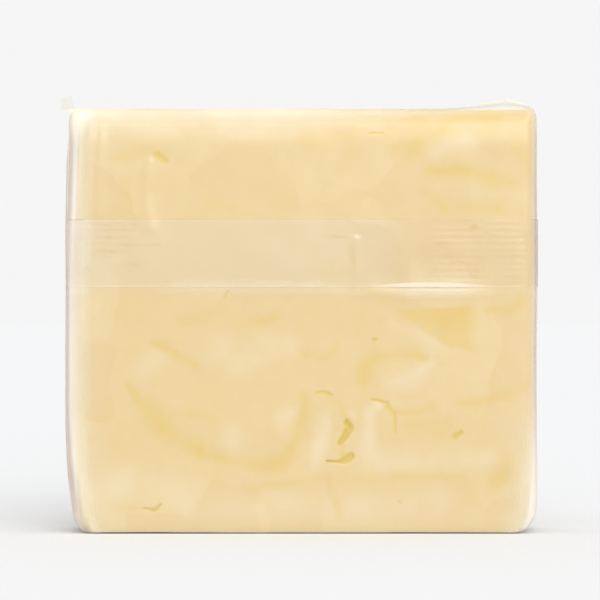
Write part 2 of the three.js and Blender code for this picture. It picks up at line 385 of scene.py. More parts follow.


# %% [markdown]
# Each point of the cheese now learns how much seam, pale curd, painted glint and opening it has. Seams
# have a soft edge and a darker heart and fade in and out along their length. Only the two large faces are
# marked.

# %% Measure the marks on the cheese
spots = places(cheese)
out = outward(spots, np.array(cheese_middle), np.array(cheese_half), EDGE_RADIUS)
on_back, on_far = smooth((-out[:, 1] - 0.2) / 0.5), smooth((out[:, 1] - 0.2) / 0.5)
loose = wander(wander(spots[:, (0, 2)], 6, 0.9, 11), 2.0, 0.5, 17)
tight = wander(spots[:, (0, 2)], 1.3, 0.25, 23)
broken = 0.35 + 0.35 * smooth(0.6 + rumple(spots, 3.2, 19)) + 0.4 * smooth(0.5 + rumple(spots, 7, 33))

seam = np.zeros(len(spots))
for strength, stroke in SEAMS.values():
    edge, heart = (smooth(nearness(loose, widened(stroke, share))) for share in (2.3, 1.2))
    seam = np.maximum(seam, strength * (0.65 * edge + 0.35 * heart) * broken)
wedge = inside(wander(spots[:, (0, 2)], 3, 0.4, 31), WEDGE, 0.9)
wedge = wedge * smooth((39.6 - spots[:, 0]) / 5) * (0.45 + 0.55 * smooth((spots[:, 0] - 24) / 12))
wedge = wedge * (0.5 + 0.5 * smooth((spots[:, 2] - 42.5) / 5))
seam = np.maximum(seam, 1.6 * wedge * (0.5 + 0.5 * broken))
# Pale curd, and the three glints among it, which are painted highlights.
pale = np.zeros(len(spots))
for strength, stroke in PALE_PATCHES_AND_GLINTS.values():
    pale = np.maximum(pale, strength * smooth(nearness(loose, widened(stroke, 2.2))) * broken)
pit = np.zeros(len(spots))
dent = np.zeros(len(spots))
for openings, on_face in ((OPENINGS, on_back), (FAR_OPENINGS, on_far)):
    for depth, stroke in openings.values():
        near = nearness(tight, stroke) * on_face
        pit = np.maximum(pit, min(1, 0.5 + 1.5 * depth) * smooth(near / 0.7))
        dent = np.maximum(dent, depth * smooth(near))

print("seamed:", int((seam > 0.3).sum()), "points; in openings:", int((pit > 0).sum()))

# %% [markdown]
# Then all the points move at once: out or in by the unevenness, the lean, the seams' grooves and the
# openings, and down a little at the foot, where the block settles on the floor.

# %% Shape the block
SEAM_GROOVE = 0.05
SETTLED, SETTLED_BELOW = 0.27, 8
rise = unevenness(spots) - on_back * (SEAM_GROOVE * seam + crown(spots)) - dent
spots = square_up(spots, np.array(cheese_middle), np.array(cheese_half), EDGE_RADIUS) + out * rise[:, None]
spots[:, 0] += trim(spots, LEFT_TRIM, RIGHT_TRIM)
spots[:, 2] -= SETTLED * smooth((SETTLED_BELOW - spots[:, 2]) / SETTLED_BELOW)
move_to(cheese, spots)
store(cheese, "seam", seam * on_back)
store(cheese, "pale", pale * on_back)
store(cheese, "opening", pit)
store(cheese, "drawn", on_back)
print("openings reach", round(dent.max(), 2), "mm deep")

# %% [markdown]
# The faces are small enough to look smooth, and only folds sharper than 60 degrees stay crisp.

# %% Shade it smooth
CRISP_FROM = 60


def shade_smooth(piece):
    bpy.ops.object.select_all(action="DESELECT")
    piece.select_set(True)
    bpy.context.view_layer.objects.active = piece
    bpy.ops.object.shade_smooth_by_angle(angle=math.radians(CRISP_FROM))


shade_smooth(cheese)

# %% [markdown]
# The film is one sheet. It starts as a box a little larger than the cheese, cut into rows like the
# block. Its long seal is extruded from a narrow row of its back faces, out and then down, as the real
# seal is folded. The end seals are extruded from a narrow column of each end in the same way.

# %% Rough out the film
FILM_STAND_OFF = 0.3
FILM_OVER_FLOOR = 0.03
FILM_RADIUS = EDGE_RADIUS + FILM_STAND_OFF
FILM_STEP = 0.75
LEFT_SLACK, RIGHT_SLACK = 0.9, 0.45

film_low = cheese_low - Vector((LEFT_SLACK, FILM_STAND_OFF, 0))
film_high = cheese_high + Vector((RIGHT_SLACK, FILM_STAND_OFF, FILM_STAND_OFF))
film_low.z = FLOOR + FILM_OVER_FLOOR
film = rounded_grid("film", film_low, film_high, FILM_RADIUS, FILM_STEP, SIDE_STEP)

# %% [markdown]
# The seals stand off the box that the film starts as, by a thin layer of air and then by their own ply.
# So how far a point stands off that box tells which points belong to a seal.

# %% Helper: how far a point stands off the film's own box
SEAL_PLY = 0.16
SEAL_GAP = 0.14
film_middle, film_half = (film_low + film_high) / 2, (film_high - film_low) / 2


def stand_off(spot):
    """Millimetres outside the rounded box that the film starts as."""
    away = spot - film_middle
    core = Vector([min(max(v, FILM_RADIUS - h), h - FILM_RADIUS) for v, h in zip(away, film_half)])
    return (away - core).length - FILM_RADIUS


# %% [markdown]
# The back seal: the back faces are sliced twice, a ply apart, and the narrow row between the slices is
# the seal's root. It rises off the film there and turns down flat over the back.

# %% Fold up the back seal
BACK_SEAL_FOLD = 68.3
BACK_SEAL_WIDTH = 14.5
BACK_SEAL_ROWS = 50


def slice_at(piece, axis, at, wanted):
    """Cuts the wanted faces along a plane across the axis."""
    pick(piece, "faces", wanted)
    point, normal = [0, 0, 0], [0, 0, 0]
    point[axis], normal[axis] = at * MM, 1
    bpy.ops.mesh.bisect(plane_co=point, plane_no=normal)


def fold_seal(piece, in_root, turned, side_at, width, rows):
    """Extrudes the root faces out by a gap and then a ply, and the outer ply sideways in rows."""
    roots = pick(piece, "faces", in_root)
    for out in (SEAL_GAP, SEAL_PLY):
        bpy.ops.mesh.extrude_region_shrink_fatten(TRANSFORM_OT_shrink_fatten={"value": out * MM})
    def on_outer_ply(face):
        at = centre_of(face)
        return side_at(at) and face.normal.dot(turned) > 0.9 and stand_off(at) > SEAL_GAP + SEAL_PLY / 4
    sides = pick(piece, "faces", on_outer_ply)
    for _ in range(rows):
        bpy.ops.mesh.extrude_region_move(TRANSFORM_OT_translate={"value": turned * width / rows * MM})
    print("a seal", width, "mm wide from", roots, "root faces and", sides, "side faces")


def facing_back(face):
    return face.normal.y < -0.3


def back_root(face):
    return facing_back(face) and BACK_SEAL_FOLD - SEAL_PLY < centre_of(face).z < BACK_SEAL_FOLD


bpy.ops.object.mode_set(mode="EDIT")
for height in (BACK_SEAL_FOLD, BACK_SEAL_FOLD - SEAL_PLY):
    slice_at(film, 2, height, lambda f: facing_back(f) and abs(centre_of(f).z - height) < 1)
fold_seal(film, back_root, Vector((0, 0, -1)), lambda at: True, BACK_SEAL_WIDTH, BACK_SEAL_ROWS)

# %% [markdown]
# At each end the tube of film is pressed flat in hot jaws that leave ribs and a zigzag cut, and the
# seal is folded over against the end. At the upper left its tip stands up as a small ear.

# %% Fold up the end seals and the ear
END_SEAL_WIDTH = 10.0
END_SEAL_ROWS = 28
END_SEAL_FOOT = 4.0
EAR_WIDTH, EAR_HEIGHT, EAR_ROWS = 3.0, 4.0, 8
seal_middle = cheese_middle.y


def fold_end_seal(side):
    """Side is -1 for the left end and 1 for the right. The back seal's cut end is drawn in under it."""
    def at_end(at):
        return (at.x - film_middle.x) * side > film_half.x - FILM_RADIUS
    def on_end(face):
        at = centre_of(face)
        return face.normal.x * side > 0.95 and at_end(at) and stand_off(at) < SEAL_GAP / 2
    def end_root(face):
        at = centre_of(face)
        in_height = END_SEAL_FOOT < at.z < film_high.z - END_SEAL_FOOT
        return on_end(face) and in_height and seal_middle < at.y < seal_middle + SEAL_PLY
    for depth in (seal_middle, seal_middle + SEAL_PLY):
        slice_at(film, 1, depth, lambda f: on_end(f) and abs(centre_of(f).y - depth) < 1)
    def by_root(at):
        return (at.x - film_middle.x) * side > film_half.x and at.y < seal_middle + 2 * SEAL_PLY
    fold_seal(film, end_root, Vector((0, 1, 0)), by_root, END_SEAL_WIDTH, END_SEAL_ROWS)


def raise_ear():
    """The left end seal's tip and the film just right of it, drawn up into a thin tab."""
    def over_corner(face):
        at = centre_of(face)
        near_top = at.z > film_high.z - 2 * END_SEAL_FOOT
        return face.normal.z > 0.25 and at.x < film_low.x + EAR_WIDTH and near_top
    def ear_root(face):
        return over_corner(face) and seal_middle < centre_of(face).y < seal_middle + SEAL_PLY
    for depth in (seal_middle, seal_middle + SEAL_PLY):
        slice_at(film, 1, depth, lambda f: over_corner(f) and abs(centre_of(f).y - depth) < 1)
    print("ear from", pick(film, "faces", ear_root), "faces")
    bpy.ops.mesh.extrude_region_move(TRANSFORM_OT_translate={"value": Vector((0, 0, MM))})
    bpy.ops.transform.resize(value=(1, 1, 0))
    for _ in range(EAR_ROWS):
        up = Vector((0, 0, EAR_HEIGHT / EAR_ROWS * MM))
        bpy.ops.mesh.extrude_region_move(TRANSFORM_OT_translate={"value": up})


for side in (-1, 1):
    fold_end_seal(side)
raise_ear()
bpy.ops.object.mode_set(mode="OBJECT")
print("film:", len(film.data.polygons), "faces")

# %% [markdown]
# A real film is never flat. It hugs the cheese where the air is drawn out, and elsewhere it is drawn
# tight into creases, tents over the top, slopes down to the seals at the ends and lifts a little under
# the free edge of the back seal. Each of these is a small move of the points, worked out by formula.

# %% Creases: lines [x, z, half width] of film pulled up into a ridge, with its height
CREASES = {
    "upper_left": (0.28, [(-33.2, 81.0, 0.5), (-33.6, 74.0, 0.8), (-33.0, 66.0, 0.6)]),
    "seal_middle": (0.22, [(11.7, 64.0, 0.4), (11.9, 58.0, 0.7), (11.4, 47.0, 0.5)]),
    "left_a": (0.3, [(-46.2, 90.0, 0.7), (-46.8, 76.0, 0.9), (-47.6, 58.0, 0.7)]),
    "left_b": (0.2, [(-43.6, 88.0, 0.5), (-44.4, 78.0, 0.7), (-44.6, 69.0, 0.4)]),
    "left_c": (0.22, [(-47.8, 52.0, 0.7), (-48.4, 38.0, 0.9), (-48.6, 20.0, 0.7)]),
    "right_a": (0.2, [(49.4, 88.0, 0.6), (49.7, 76.0, 0.8), (49.6, 66.0, 0.5)]),
    "foot_left": (0.12, [(-48.8, 12.0, 0.9), (-46.4, 5.5, 1.2), (-43.0, 2.4, 0.9)]),
    "foot_right": (0.14, [(49.4, 11.0, 0.8), (48.0, 5.0, 1.0), (45.0, 2.2, 0.8)]),
}
FAR_CREASES = {
    "upper_left": (0.3, [(-46.0, 88.0, 0.6), (-38.5, 81.0, 0.9), (-31.0, 75.0, 0.4)]),
    "upper_right": (0.28, [(47.0, 89.0, 0.6), (40.5, 80.0, 0.9), (35.0, 70.0, 0.4)]),
    "lower_left": (0.26, [(-47.5, 5.0, 0.6), (-41.0, 13.0, 0.8), (-36.5, 22.5, 0.4)]),
    "lower_right": (0.26, [(47.0, 6.0, 0.6), (41.5, 12.0, 0.8), (38.0, 20.0, 0.4)]),
    "left_side": (0.24, [(-46.6, 71.0, 0.5), (-47.2, 52.0, 0.8), (-46.6, 34.0, 0.5)]),
    "right_side": (0.24, [(47.2, 66.0, 0.5), (47.7, 46.0, 0.8), (46.9, 31.0, 0.5)]),
    "across": (0.14, [(-24.0, 84.0, 0.4), (-4.0, 86.2, 0.7), (20.0, 83.5, 0.4)]),
}
print(len(CREASES), "creases on the back and", len(FAR_CREASES), "on the far face")

# %% [markdown]
# Each point of the film first learns which part of the pack it lies on: shares from 0 to 1 for the
# faces, which blend round the edges, and yes or no for the seals and the ear.

# %% Find the film's faces, seals and ear
def hipped(across, along, half_across, half_along):
    """The height of a hipped roof from 0 at its eaves to 1 along its ridge."""
    room = np.minimum(half_across - np.abs(across), half_along - np.abs(along))
    return np.clip(room / half_across, 0, 1)


spots = places(film)
off = np.array([stand_off(Vector(spot)) for spot in spots])
out = outward(spots, np.array(film_middle), np.array(film_half), FILM_RADIUS)
relative = spots - np.array(film_middle)
flat = wander(spots[:, (0, 2)], 9, 0.5, 41)
on_back, on_far = smooth((-out[:, 1] - 0.2) / 0.5), smooth((out[:, 1] - 0.2) / 0.5)
on_top = smooth((out[:, 2] - 0.3) / 0.5)
on_left = smooth((-out[:, 0] - 0.3) / 0.5)
on_right = smooth((out[:, 0] - 0.3) / 0.5)
in_back_seal = (off > SEAL_GAP / 2) & (out[:, 1] < -0.3)
in_end_seal = (off > SEAL_GAP / 2) & (np.abs(out[:, 0]) > 0.9) & ~in_back_seal
ear_points = (spots[:, 2] > film_high.z + 0.05) & (spots[:, 0] < film_low.x + EAR_WIDTH + 1)

# The seal's fold and its free edge, as a share of its width: 0 at the fold and 1 at the edge.
down_seal = (BACK_SEAL_FOLD - spots[:, 2]) / BACK_SEAL_WIDTH
print("in the back seal:", int(in_back_seal.sum()), "points; in the end seals:", int(in_end_seal.sum()))

# %% [markdown]
# Then the film's body moves. It follows the cheese's unevenness and adds its own creases, a lift under
# the back seal's free edge, the tent over the top and the slope out to the seals at the ends.

# %% Let the film hug, tent and crease
TENT_START, TENT_PEAK, TENT_RISE = 31.5, 45.0, 2.5
FILM_LEFT_TRIM = [(0, 3.8), (1, 2.4), (3, 1.4), (8, 0.7), (16, 0.2), (24, 0.0), (66, 0.0), (94, 0.5)]
FILM_RIGHT_TRIM = [(0, 3.0), (1.5, 1.6), (4, 0.3), (8, 0.0), (94, 0.0)]
LIFT_HEIGHT = 52.4
LIFT_HALF_WIDTH = 1.1
LEFT_BULGE, RIGHT_BULGE = 0.75, 0.35
edge_lift = 0.35 * smooth((spots[:, 0] - 8) / 12) * smooth((44 - spots[:, 0]) / 10)


def ridges(creases):
    """How high the film stands where it is creased, in millimetres."""
    height = np.zeros(len(spots))
    for peak, stroke in creases.values():
        height = np.maximum(height, peak * smooth(nearness(flat, widened(stroke, 2))))
    return height


swell = ridges(CREASES)
fine = rumple(spots * np.array((1, 1, 0.45)), 5, 7)
swell = swell + 0.05 * fine + 0.05
lifted_at = LIFT_HEIGHT + 0.7 * smooth((12 - spots[:, 0]) / 8)
below_edge = np.exp(-((spots[:, 2] - lifted_at) / LIFT_HALF_WIDTH) ** 2)
swell = swell + below_edge * (0.06 + 0.5 * edge_lift) * ~in_back_seal

move = (unevenness(spots) - on_back * crown(spots))[:, None] * out
far_swell = ridges(FAR_CREASES)
move[:, 1] += on_far * (far_swell + 0.12 * (1 + fine))
move[:, 1] -= on_back * swell
move[:, 0] += trim(spots, FILM_LEFT_TRIM, FILM_RIGHT_TRIM)

tent = np.clip((spots[:, 0] - TENT_START) / (TENT_PEAK - TENT_START), 0, 1)
tent = tent * (1 - 0.65 * smooth((spots[:, 0] - TENT_PEAK) / 6.5))
ridge = np.clip(1 - np.abs(relative[:, 1]) / film_half.y, 0, 1) ** 0.7
move[:, 2] += on_top * (TENT_RISE * tent * ridge + 0.12 * (1 + rumple(spots, 11, 9)))
roof = hipped(relative[:, 1], relative[:, 2], film_half.y, film_half.z)
move[:, 0] += on_right * RIGHT_BULGE * roof - on_left * LEFT_BULGE * roof
print("the film moves by up to", round(float(np.abs(move).max()), 2), "mm")

# %% [markdown]
# Last come the ribs that the jaws press into the seals, the zigzag of the end seals' cut edges, and the
# ear, which leans to the left, narrows upwards and has a ragged top.

# %% Press the ribs and shape the ear
RIB_PITCH = 1.45
RIB_HEIGHT, END_RIB_HEIGHT, END_RIB_LOSS = 0.022, 0.08, 0.04
ZIGZAG_PITCH, ZIGZAG_DEPTH = 2.6, 0.9
EAR_LEAN = 2.2

ribs = np.sin(2 * math.pi * spots[:, 2] / RIB_PITCH)
pressed = 0.05 + 0.95 * smooth((np.abs(spots[:, 0] + 2) - 22) / 14) * smooth(0.6 + rumple(spots, 6, 15))
move[:, 1] += in_back_seal * pressed * RIB_HEIGHT * ribs
move[:, 1] -= in_back_seal * 0.3 * edge_lift * smooth((down_seal - 0.8) / 0.2)
end_ribs = np.sin(2 * math.pi * relative[:, 1] / RIB_PITCH)
end_rib_height = END_RIB_HEIGHT - END_RIB_LOSS * on_left
move[:, 0] += in_end_seal * np.sign(relative[:, 0]) * end_rib_height * end_ribs
last = smooth((relative[:, 1] - END_SEAL_WIDTH + 0.6) / 0.6)
zigzag = np.abs((spots[:, 2] / ZIGZAG_PITCH) % 1 - 0.5) * 2
move[:, 1] -= in_end_seal * last * zigzag * ZIGZAG_DEPTH
ear_share = np.clip((spots[:, 2] - film_high.z) / EAR_HEIGHT, 0, 1) * ear_points
move[:, 0] -= ear_points * EAR_LEAN + 0.35 * ear_share * (spots[:, 0] - film_low.x)
move[:, 1] -= ear_share
move[:, 2] += ear_share * 0.9 * rumple(spots, 1.1, 43)
settled = square_up(spots, np.array(film_middle), np.array(film_half), FILM_RADIUS) + move
settled[:, 2] = np.maximum(settled[:, 2], FLOOR)
move_to(film, settled)
print("ribs:", round(BACK_SEAL_WIDTH / RIB_PITCH), "along the back seal")
shade_smooth(film)

# %% [markdown]
# How hazy the film looks. Where it clings, the cheese shows through it deep and wet; where a little air
# lies under it, or two plies are welded, it is paler. The back seal has blots with less haze and more,
# a painted highlight along its free edge, and fine dark lines of painted shade in the ribs and creases
# that the jaws pressed, with one painted shadow line just above its free edge.

# %% The marks on the back seal
HAZE_MARKS = {
    # strokes [x, z, half width] of more or less haze, as a share of the seal's own
    "blot": (-0.7, [(5.6, 55.6, 1.8), (9.0, 57.2, 2.4), (11.4, 60.0, 1.6)]),
    "right_blot": (-0.6, [(38.6, 60.0, 1.6), (42.6, 62.4, 1.8), (42.0, 66.0, 1.4)]),
    # a painted highlight along the left part of the seal's free edge
    "soft_edge_highlight": (1.2, [(-27.0, 54.5, 0.8), (-12.0, 54.4, 1.0), (4.0, 54.2, 0.7)]),
    "left_air": (2.2, [(-50.0, 66.0, 5.4), (-49.6, 61.0, 4.0), (-49.6, 56.0, 2.8)]),
}
PAINTED_SHADE_LINES = [
    # strokes [x, z, half width] of painted shade in the ribs and creases; the last is a painted shadow line
    # above the seal's free edge
    [(-45.0, 67.1, 0.3), (-35.2, 67.1, 0.3)], [(-44.0, 66.0, 0.2), (-37.0, 66.0, 0.2)],
    [(-42.6, 64.2, 0.3), (-35.0, 64.2, 0.3)], [(-39.0, 62.8, 0.3), (-30.6, 62.7, 0.3)],
    [(-43.4, 61.3, 0.35), (-40.2, 61.3, 0.3)], [(-38.6, 58.5, 0.3), (-35.4, 58.5, 0.25)],
    [(29.4, 63.0, 0.3), (32.8, 63.0, 0.3)], [(32.4, 59.2, 0.3), (37.4, 59.1, 0.3)],
    [(31.0, 60.9, 0.2), (36.0, 60.9, 0.25)], [(5.1, 64.6, 0.3), (10.4, 64.5, 0.3)],
    [(37.0, 66.8, 0.6), (38.2, 66.7, 0.6)], [(-34.5, 54.9, 0.2), (2.0, 54.7, 0.2)],
]
CREASE_STRENGTH = 0.6
marks = np.zeros(len(spots))
for change, stroke in HAZE_MARKS.values():
    marks = marks + change * smooth(1.4 * nearness(spots[:, (0, 2)], widened(stroke, 1.3)))
# Painted shade: these lines darken what shows through the film.
crease = np.zeros(len(spots))
unruly = wander(spots[:, (0, 2)], 3, 0.25, 37)
for stroke in PAINTED_SHADE_LINES:
    crease = np.maximum(crease, smooth(1.5 * nearness(unruly, widened(stroke, 1.1))))
crease = CREASE_STRENGTH * crease * smooth(0.55 + 1.1 * rumple(spots, 1.6, 39))
print(len(HAZE_MARKS), "marks and", len(PAINTED_SHADE_LINES), "dark lines on the back seal")

# %% [markdown]
# Shares from 0 to 1 that say where on the pack a point is. Each line gives the place, in millimetres,
# where a share begins and how wide it fades.

# %% Shares for the places that look different
across, height = spots[:, 0], spots[:, 2]
edge_window = smooth((across - 13) / 12) * smooth((44 - across) / 12)
# The crescent is a painted highlight along the back seal's free edge, widest where the edge lifts most.
crescent_highlight = smooth((down_seal - 1 + 0.012 + 0.055 * edge_window) / 0.03)
to_clear = smooth((across - 12) / 16)
streaks = 0.5 + 0.5 * rumple(spots * np.array((1, 1, 0.12)), 2.2, 27)
left_end = smooth((-44.2 - across) / 5.6)
right_end = smooth((across - 43.5) / 6.5)
near_left = smooth((-36 - across) / 10)
low_right = smooth((across - 38) / 8) * smooth((62 - height) / 8)
low_down = smooth((36 - height) / 24)
foot = smooth((14 - height) / 12)
# A painted highlight along the top edge, strongest on the left and fading towards the right.
to_right = smooth((across + 8) / 54)
top_start = 83.6 + 5.4 * to_right
top_edge_highlight = smooth((height - top_start) / (93 - top_start)) ** 1.3 * (1 - 0.85 * to_right)
near_corner = np.maximum(smooth((height - 62) / 14), smooth((28 - height) / 14))
cheese_end = cheese_low.x + np.interp(height, *zip(*LEFT_TRIM))
past_cheese = smooth((cheese_end + 0.5 - across) / 1.3)
under_seal = smooth((16 - across) / 10) * smooth((across + 34) / 8)
print("past the cheese's left end:", int((past_cheese > 0.5).sum()), "points")

# %% [markdown]
# Each place adds its own haze: the air under the film at the ends and over the top, the lift below the
# back seal, the tent and the welded seals. Some of it is painted light: a painted highlight along the top
# edge, painted highlights along the back seal's free edge and on the far face's creases, and painted
# light that keeps the ends pale. The amounts are shares of a film that would be quite white.

# %% Add up the haze
CLEAR_FILM, PATCHY_FILM = 0.008, 0.018
WELD_HAZE = 0.064
haze = CLEAR_FILM + PATCHY_FILM * smooth(0.5 + 0.8 * rumple(spots, 12, 13))
# At the left end: the haze of air under the slack film, and painted light that keeps the end pale where it
# turns from the light.
at_left = (0.3 + 0.22 * streaks) * (1 + 0.35 * near_corner) * (1 - 0.75 * past_cheese)
at_right = 0.01 + (0.24 + 0.16 * streaks) * low_down
# Below the seal's edge: haze of the air under the lift, and a painted glow of light along it.
lift_haze_and_glow = 0.06 + 0.15 * under_seal + 0.28 * edge_window
face_haze = 0.07 * near_left + 0.04 * low_right + left_end * at_left + right_end * at_right
haze = haze + on_back * (face_haze + 0.08 * foot + below_edge * lift_haze_and_glow)
# The end faces: haze of the slack film, and painted light that makes them paler.
haze = haze + (0.34 * on_left + 0.3 * on_right) * (1 - 0.5 * past_cheese * on_back)
haze = haze + on_top * (0.05 + 0.3 * tent * smooth(ridge * 2 - 0.6))
# The painted highlight along the top edge.
haze = haze + np.maximum(on_back, on_top) * top_edge_highlight * (0.52 + 0.1 * rumple(spots, 6, 21))
# On the far face: painted highlights along the creases, and paler streaks near the ends.
haze = haze + on_far * (0.5 * far_swell + 0.14 * (left_end + right_end) * streaks)
weld_haze = WELD_HAZE * (1 - 0.9 * to_clear) * (1 + marks) + crescent_highlight * (0.06 + 0.36 * edge_window)
haze = np.where(in_back_seal, weld_haze, haze)
haze = haze + in_end_seal * (0.06 + 0.05 * end_ribs) * (1 - 0.7 * on_left)
haze = np.where(ear_points, 0.02, haze)
store(film, "haze", np.clip(haze, 0, 1))
print("haze: from", round(float(haze.min()), 3), "to", round(float(haze.max()), 3))

# %% [markdown]
# The rest of the film's look: how pink its milkiness is, which is partly painted warm light from the
# cheese, how much a crease or a doubled film darkens what shows through, partly painted shade, and how
# much it shines. The milk stays white along the top edge, under its painted highlight. The welds shine
# less, and so does the wetted strip just under the top edge, where the cheese clings.

# %% Tinge, crease and sheen
WET_HEIGHT, WET_HALF_WIDTH = 90, 2.6
slack_end = smooth((-49.8 - across) / 1.5)
# The pink tinge on the ends and seals is partly painted warm light thrown from the cheese.
tinge = np.maximum.reduce((1.0 * on_left, 0.8 * on_right, 0.6 * in_end_seal, slack_end))
store(film, "tinge", np.where(in_back_seal, 0.5, tinge * (1 - top_edge_highlight)))
slack_tint = past_cheese * (0.5 + 0.45 * smooth((48 - height) / 16))
outside_seal = np.maximum(0.4 * ear_points, slack_tint)
store(film, "crease", np.where(in_back_seal, np.maximum(crease, 0.15 * to_clear), outside_seal))
wetted = on_back * np.exp(-((height - WET_HEIGHT) / WET_HALF_WIDTH) ** 2)
welded = in_back_seal | in_end_seal | ear_points
store(film, "sheen", 1 - np.maximum(0.6 * welded, 0.7 * wetted))
print("attributes on the film:", [layer.name for layer in film.data.attributes if layer.domain == "POINT"])

# %% [markdown]
# Materials. Colours are written as sRGB, as a paint chart gives them, and turned to the linear values
# that Blender mixes. One helper adds a node with its settings and its links.

# %% Helpers for materials
def linear(hex_colour):
    parts = [int(hex_colour[i:i + 2], 16) / 255 for i in (1, 3, 5)]
    return tuple(c / 12.92 if c <= 0.04045 else ((c + 0.055) / 1.055) ** 2.4 for c in parts) + (1.0,)


def new_material(name):
    material = bpy.data.materials.new(name)
    material.use_nodes = True
    material.node_tree.nodes.clear()
    return material


def add_node(material, kind, links=(), inputs=(), **settings):
    """Adds a node. links maps its inputs to other nodes' outputs, and inputs sets plain values."""
    tree = material.node_tree
    node = tree.nodes.new(kind)
    for name, value in settings.items():
        setattr(node, name, value)
    for name, value in dict(inputs).items():
        node.inputs[name].default_value = value
    for name, source in dict(links).items():
        tree.links.new(source, node.inputs[name])
    return node


def mix_colour(material, share, first, second):
    """Mixes two colours, each a plain colour or another node's output."""
    node = add_node(material, "ShaderNodeMix", data_type="RGBA")
    for slot, value in ((0, share), (6, first), (7, second)):
        if isinstance(value, (tuple, float)):
            node.inputs[slot].default_value = value
        else:
            material.node_tree.links.new(value, node.inputs[slot])
    return node.outputs[2]


def ramp(material, source, low, high, to_low=0.0, to_high=1.0):
    """A value rescaled from low..high to to_low..to_high, and held there."""
    limits = {"From Min": low, "From Max": high, "To Min": to_low, "To Max": to_high}
    return add_node(material, "ShaderNodeMapRange", {"Value": source}, limits).outputs[0]

# %% [markdown]
# The cheese: young cheddar, cut with a wire. It is a soft solid full of fat, so light sinks in a few
# millimetres and comes out warm, and its cut face is waxy rather than shiny. Curds pressed together
# show as patches of slightly different tone, with oilier, darker seams between them.

# %% The cheese's material
CURD_SIZE = 15.0
MOTTLE_SIZE = 3.0
DRIFT_SIZE = 22.0
GRAIN_SIZE = 0.9
BEND_SIZE, BEND = 9.0, 7.0
CURD, CURD_DRIFT = "#CDB580", "#CBB27B"
LIGHT_CURD, MOTTLE, PALE_CURD_AND_GLINT = "#D2BE8F", "#CBB179", "#D5C7AA"
OILY_SEAM, IN_OPENING = "#CBAE58", "#C8AC3A"


def young_cheddar():
    m = new_material("young cheddar, wire cut")
    place = add_node(m, "ShaderNodeTexCoord").outputs["Object"]
    read = {}
    for name in ("seam", "pale", "opening", "drawn"):
        read[name] = add_node(m, "ShaderNodeAttribute", attribute_name=name).outputs["Fac"]
    bend = add_node(m, "ShaderNodeTexNoise", {"Vector": place}, {"Scale": 1 / (BEND_SIZE * MM), "Detail": 2})
    bent = add_node(m, "ShaderNodeVectorMath", operation="MULTIPLY_ADD",
                    links={0: bend.outputs["Color"], 2: place})
    bent.inputs[1].default_value = (BEND * MM, BEND * MM, BEND * MM)
    curds = add_node(m, "ShaderNodeTexVoronoi", {"Vector": bent.outputs[0]},
                     {"Scale": 1 / (CURD_SIZE * MM)}, feature="DISTANCE_TO_EDGE")
    tones = add_node(m, "ShaderNodeTexVoronoi", {"Vector": bent.outputs[0]},
                     {"Scale": 1 / (CURD_SIZE * MM)}, feature="F1")
    drift = add_node(m, "ShaderNodeTexNoise", {"Vector": place},
                     {"Scale": 1 / (DRIFT_SIZE * MM), "Detail": 3})
    mottle = add_node(m, "ShaderNodeTexNoise", {"Vector": place},
                      {"Scale": 1 / (MOTTLE_SIZE * MM), "Detail": 4, "Roughness": 0.6})
    knit = ramp(m, curds.outputs["Distance"], 0.0, 0.14, 1.0, 0.0)
    patchy = ramp(m, drift.outputs["Fac"], 0.42, 0.6)
    knit = add_node(m, "ShaderNodeMath", {0: knit, 1: patchy}, operation="MULTIPLY").outputs[0]
    faint = ramp(m, read["drawn"], 0.0, 1.0, 0.8, 0.12)
    knit = add_node(m, "ShaderNodeMath", {0: knit, 1: faint}, operation="MULTIPLY").outputs[0]
    seams = add_node(m, "ShaderNodeMath", {0: knit, 1: read["seam"]}, operation="MAXIMUM").outputs[0]
    body = mix_colour(m, ramp(m, drift.outputs["Fac"], 0.35, 0.65), linear(CURD), linear(CURD_DRIFT))
    body = mix_colour(m, ramp(m, tones.outputs["Color"], 0.2, 0.8, 0.0, 0.6), body, linear(LIGHT_CURD))
    body = mix_colour(m, ramp(m, mottle.outputs["Fac"], 0.35, 0.65, 0.0, 0.3), body, linear(MOTTLE))
    # The pale colour: pale curd, and painted highlights at the glints.
    body = mix_colour(m, ramp(m, read["pale"], 0.0, 1.0, 0.0, 0.8), body, linear(PALE_CURD_AND_GLINT))
    body = mix_colour(m, ramp(m, seams, 0.0, 1.0, 0.0, 0.8), body, linear(OILY_SEAM))
    body = mix_colour(m, ramp(m, read["opening"], 0.0, 1.0, 0.0, 0.9), body, linear(IN_OPENING))
    grain = add_node(m, "ShaderNodeTexNoise", {"Vector": place},
                     {"Scale": 1 / (GRAIN_SIZE * MM), "Detail": 3})
    bump = add_node(m, "ShaderNodeBump", {"Height": grain.outputs["Fac"]},
                    {"Strength": 0.035, "Distance": 0.2 * MM})
    dull = ramp(m, mottle.outputs["Fac"], 0.3, 0.7, 0.42, 0.58)
    skin = add_node(m, "ShaderNodeBsdfPrincipled",
                    {"Base Color": body, "Roughness": dull, "Normal": bump.outputs[0]},
                    {"IOR": 1.45, "Subsurface Weight": 0.4, "Subsurface Scale": 1.0,
                     "Subsurface Radius": (4 * MM, 2.6 * MM, 1.4 * MM)})
    add_node(m, "ShaderNodeOutputMaterial", {"Surface": skin.outputs[0]})
    return m


cheese.data.materials.append(young_cheddar())
print("cheese:", [m.name for m in cheese.data.materials])

# %% [markdown]
# The film: a laminate of clear plastics a tenth of a millimetre thick, glossy on both faces. Most light
# goes straight through, a little mirrors off, more of it at a slant, and a trace is scattered as haze.

# %% The film's material
SQUARE_ON = 0.05                      # how much mirrors off square on
FILM_ROUGHNESS = 0.25
# The darker pass-through is a doubled film, and painted shade along the crease lines and above the seal's
# edge.
CREASE_SHADE_AND_DOUBLED = "#FBF7F1"                   # what a creased or doubled film lets through
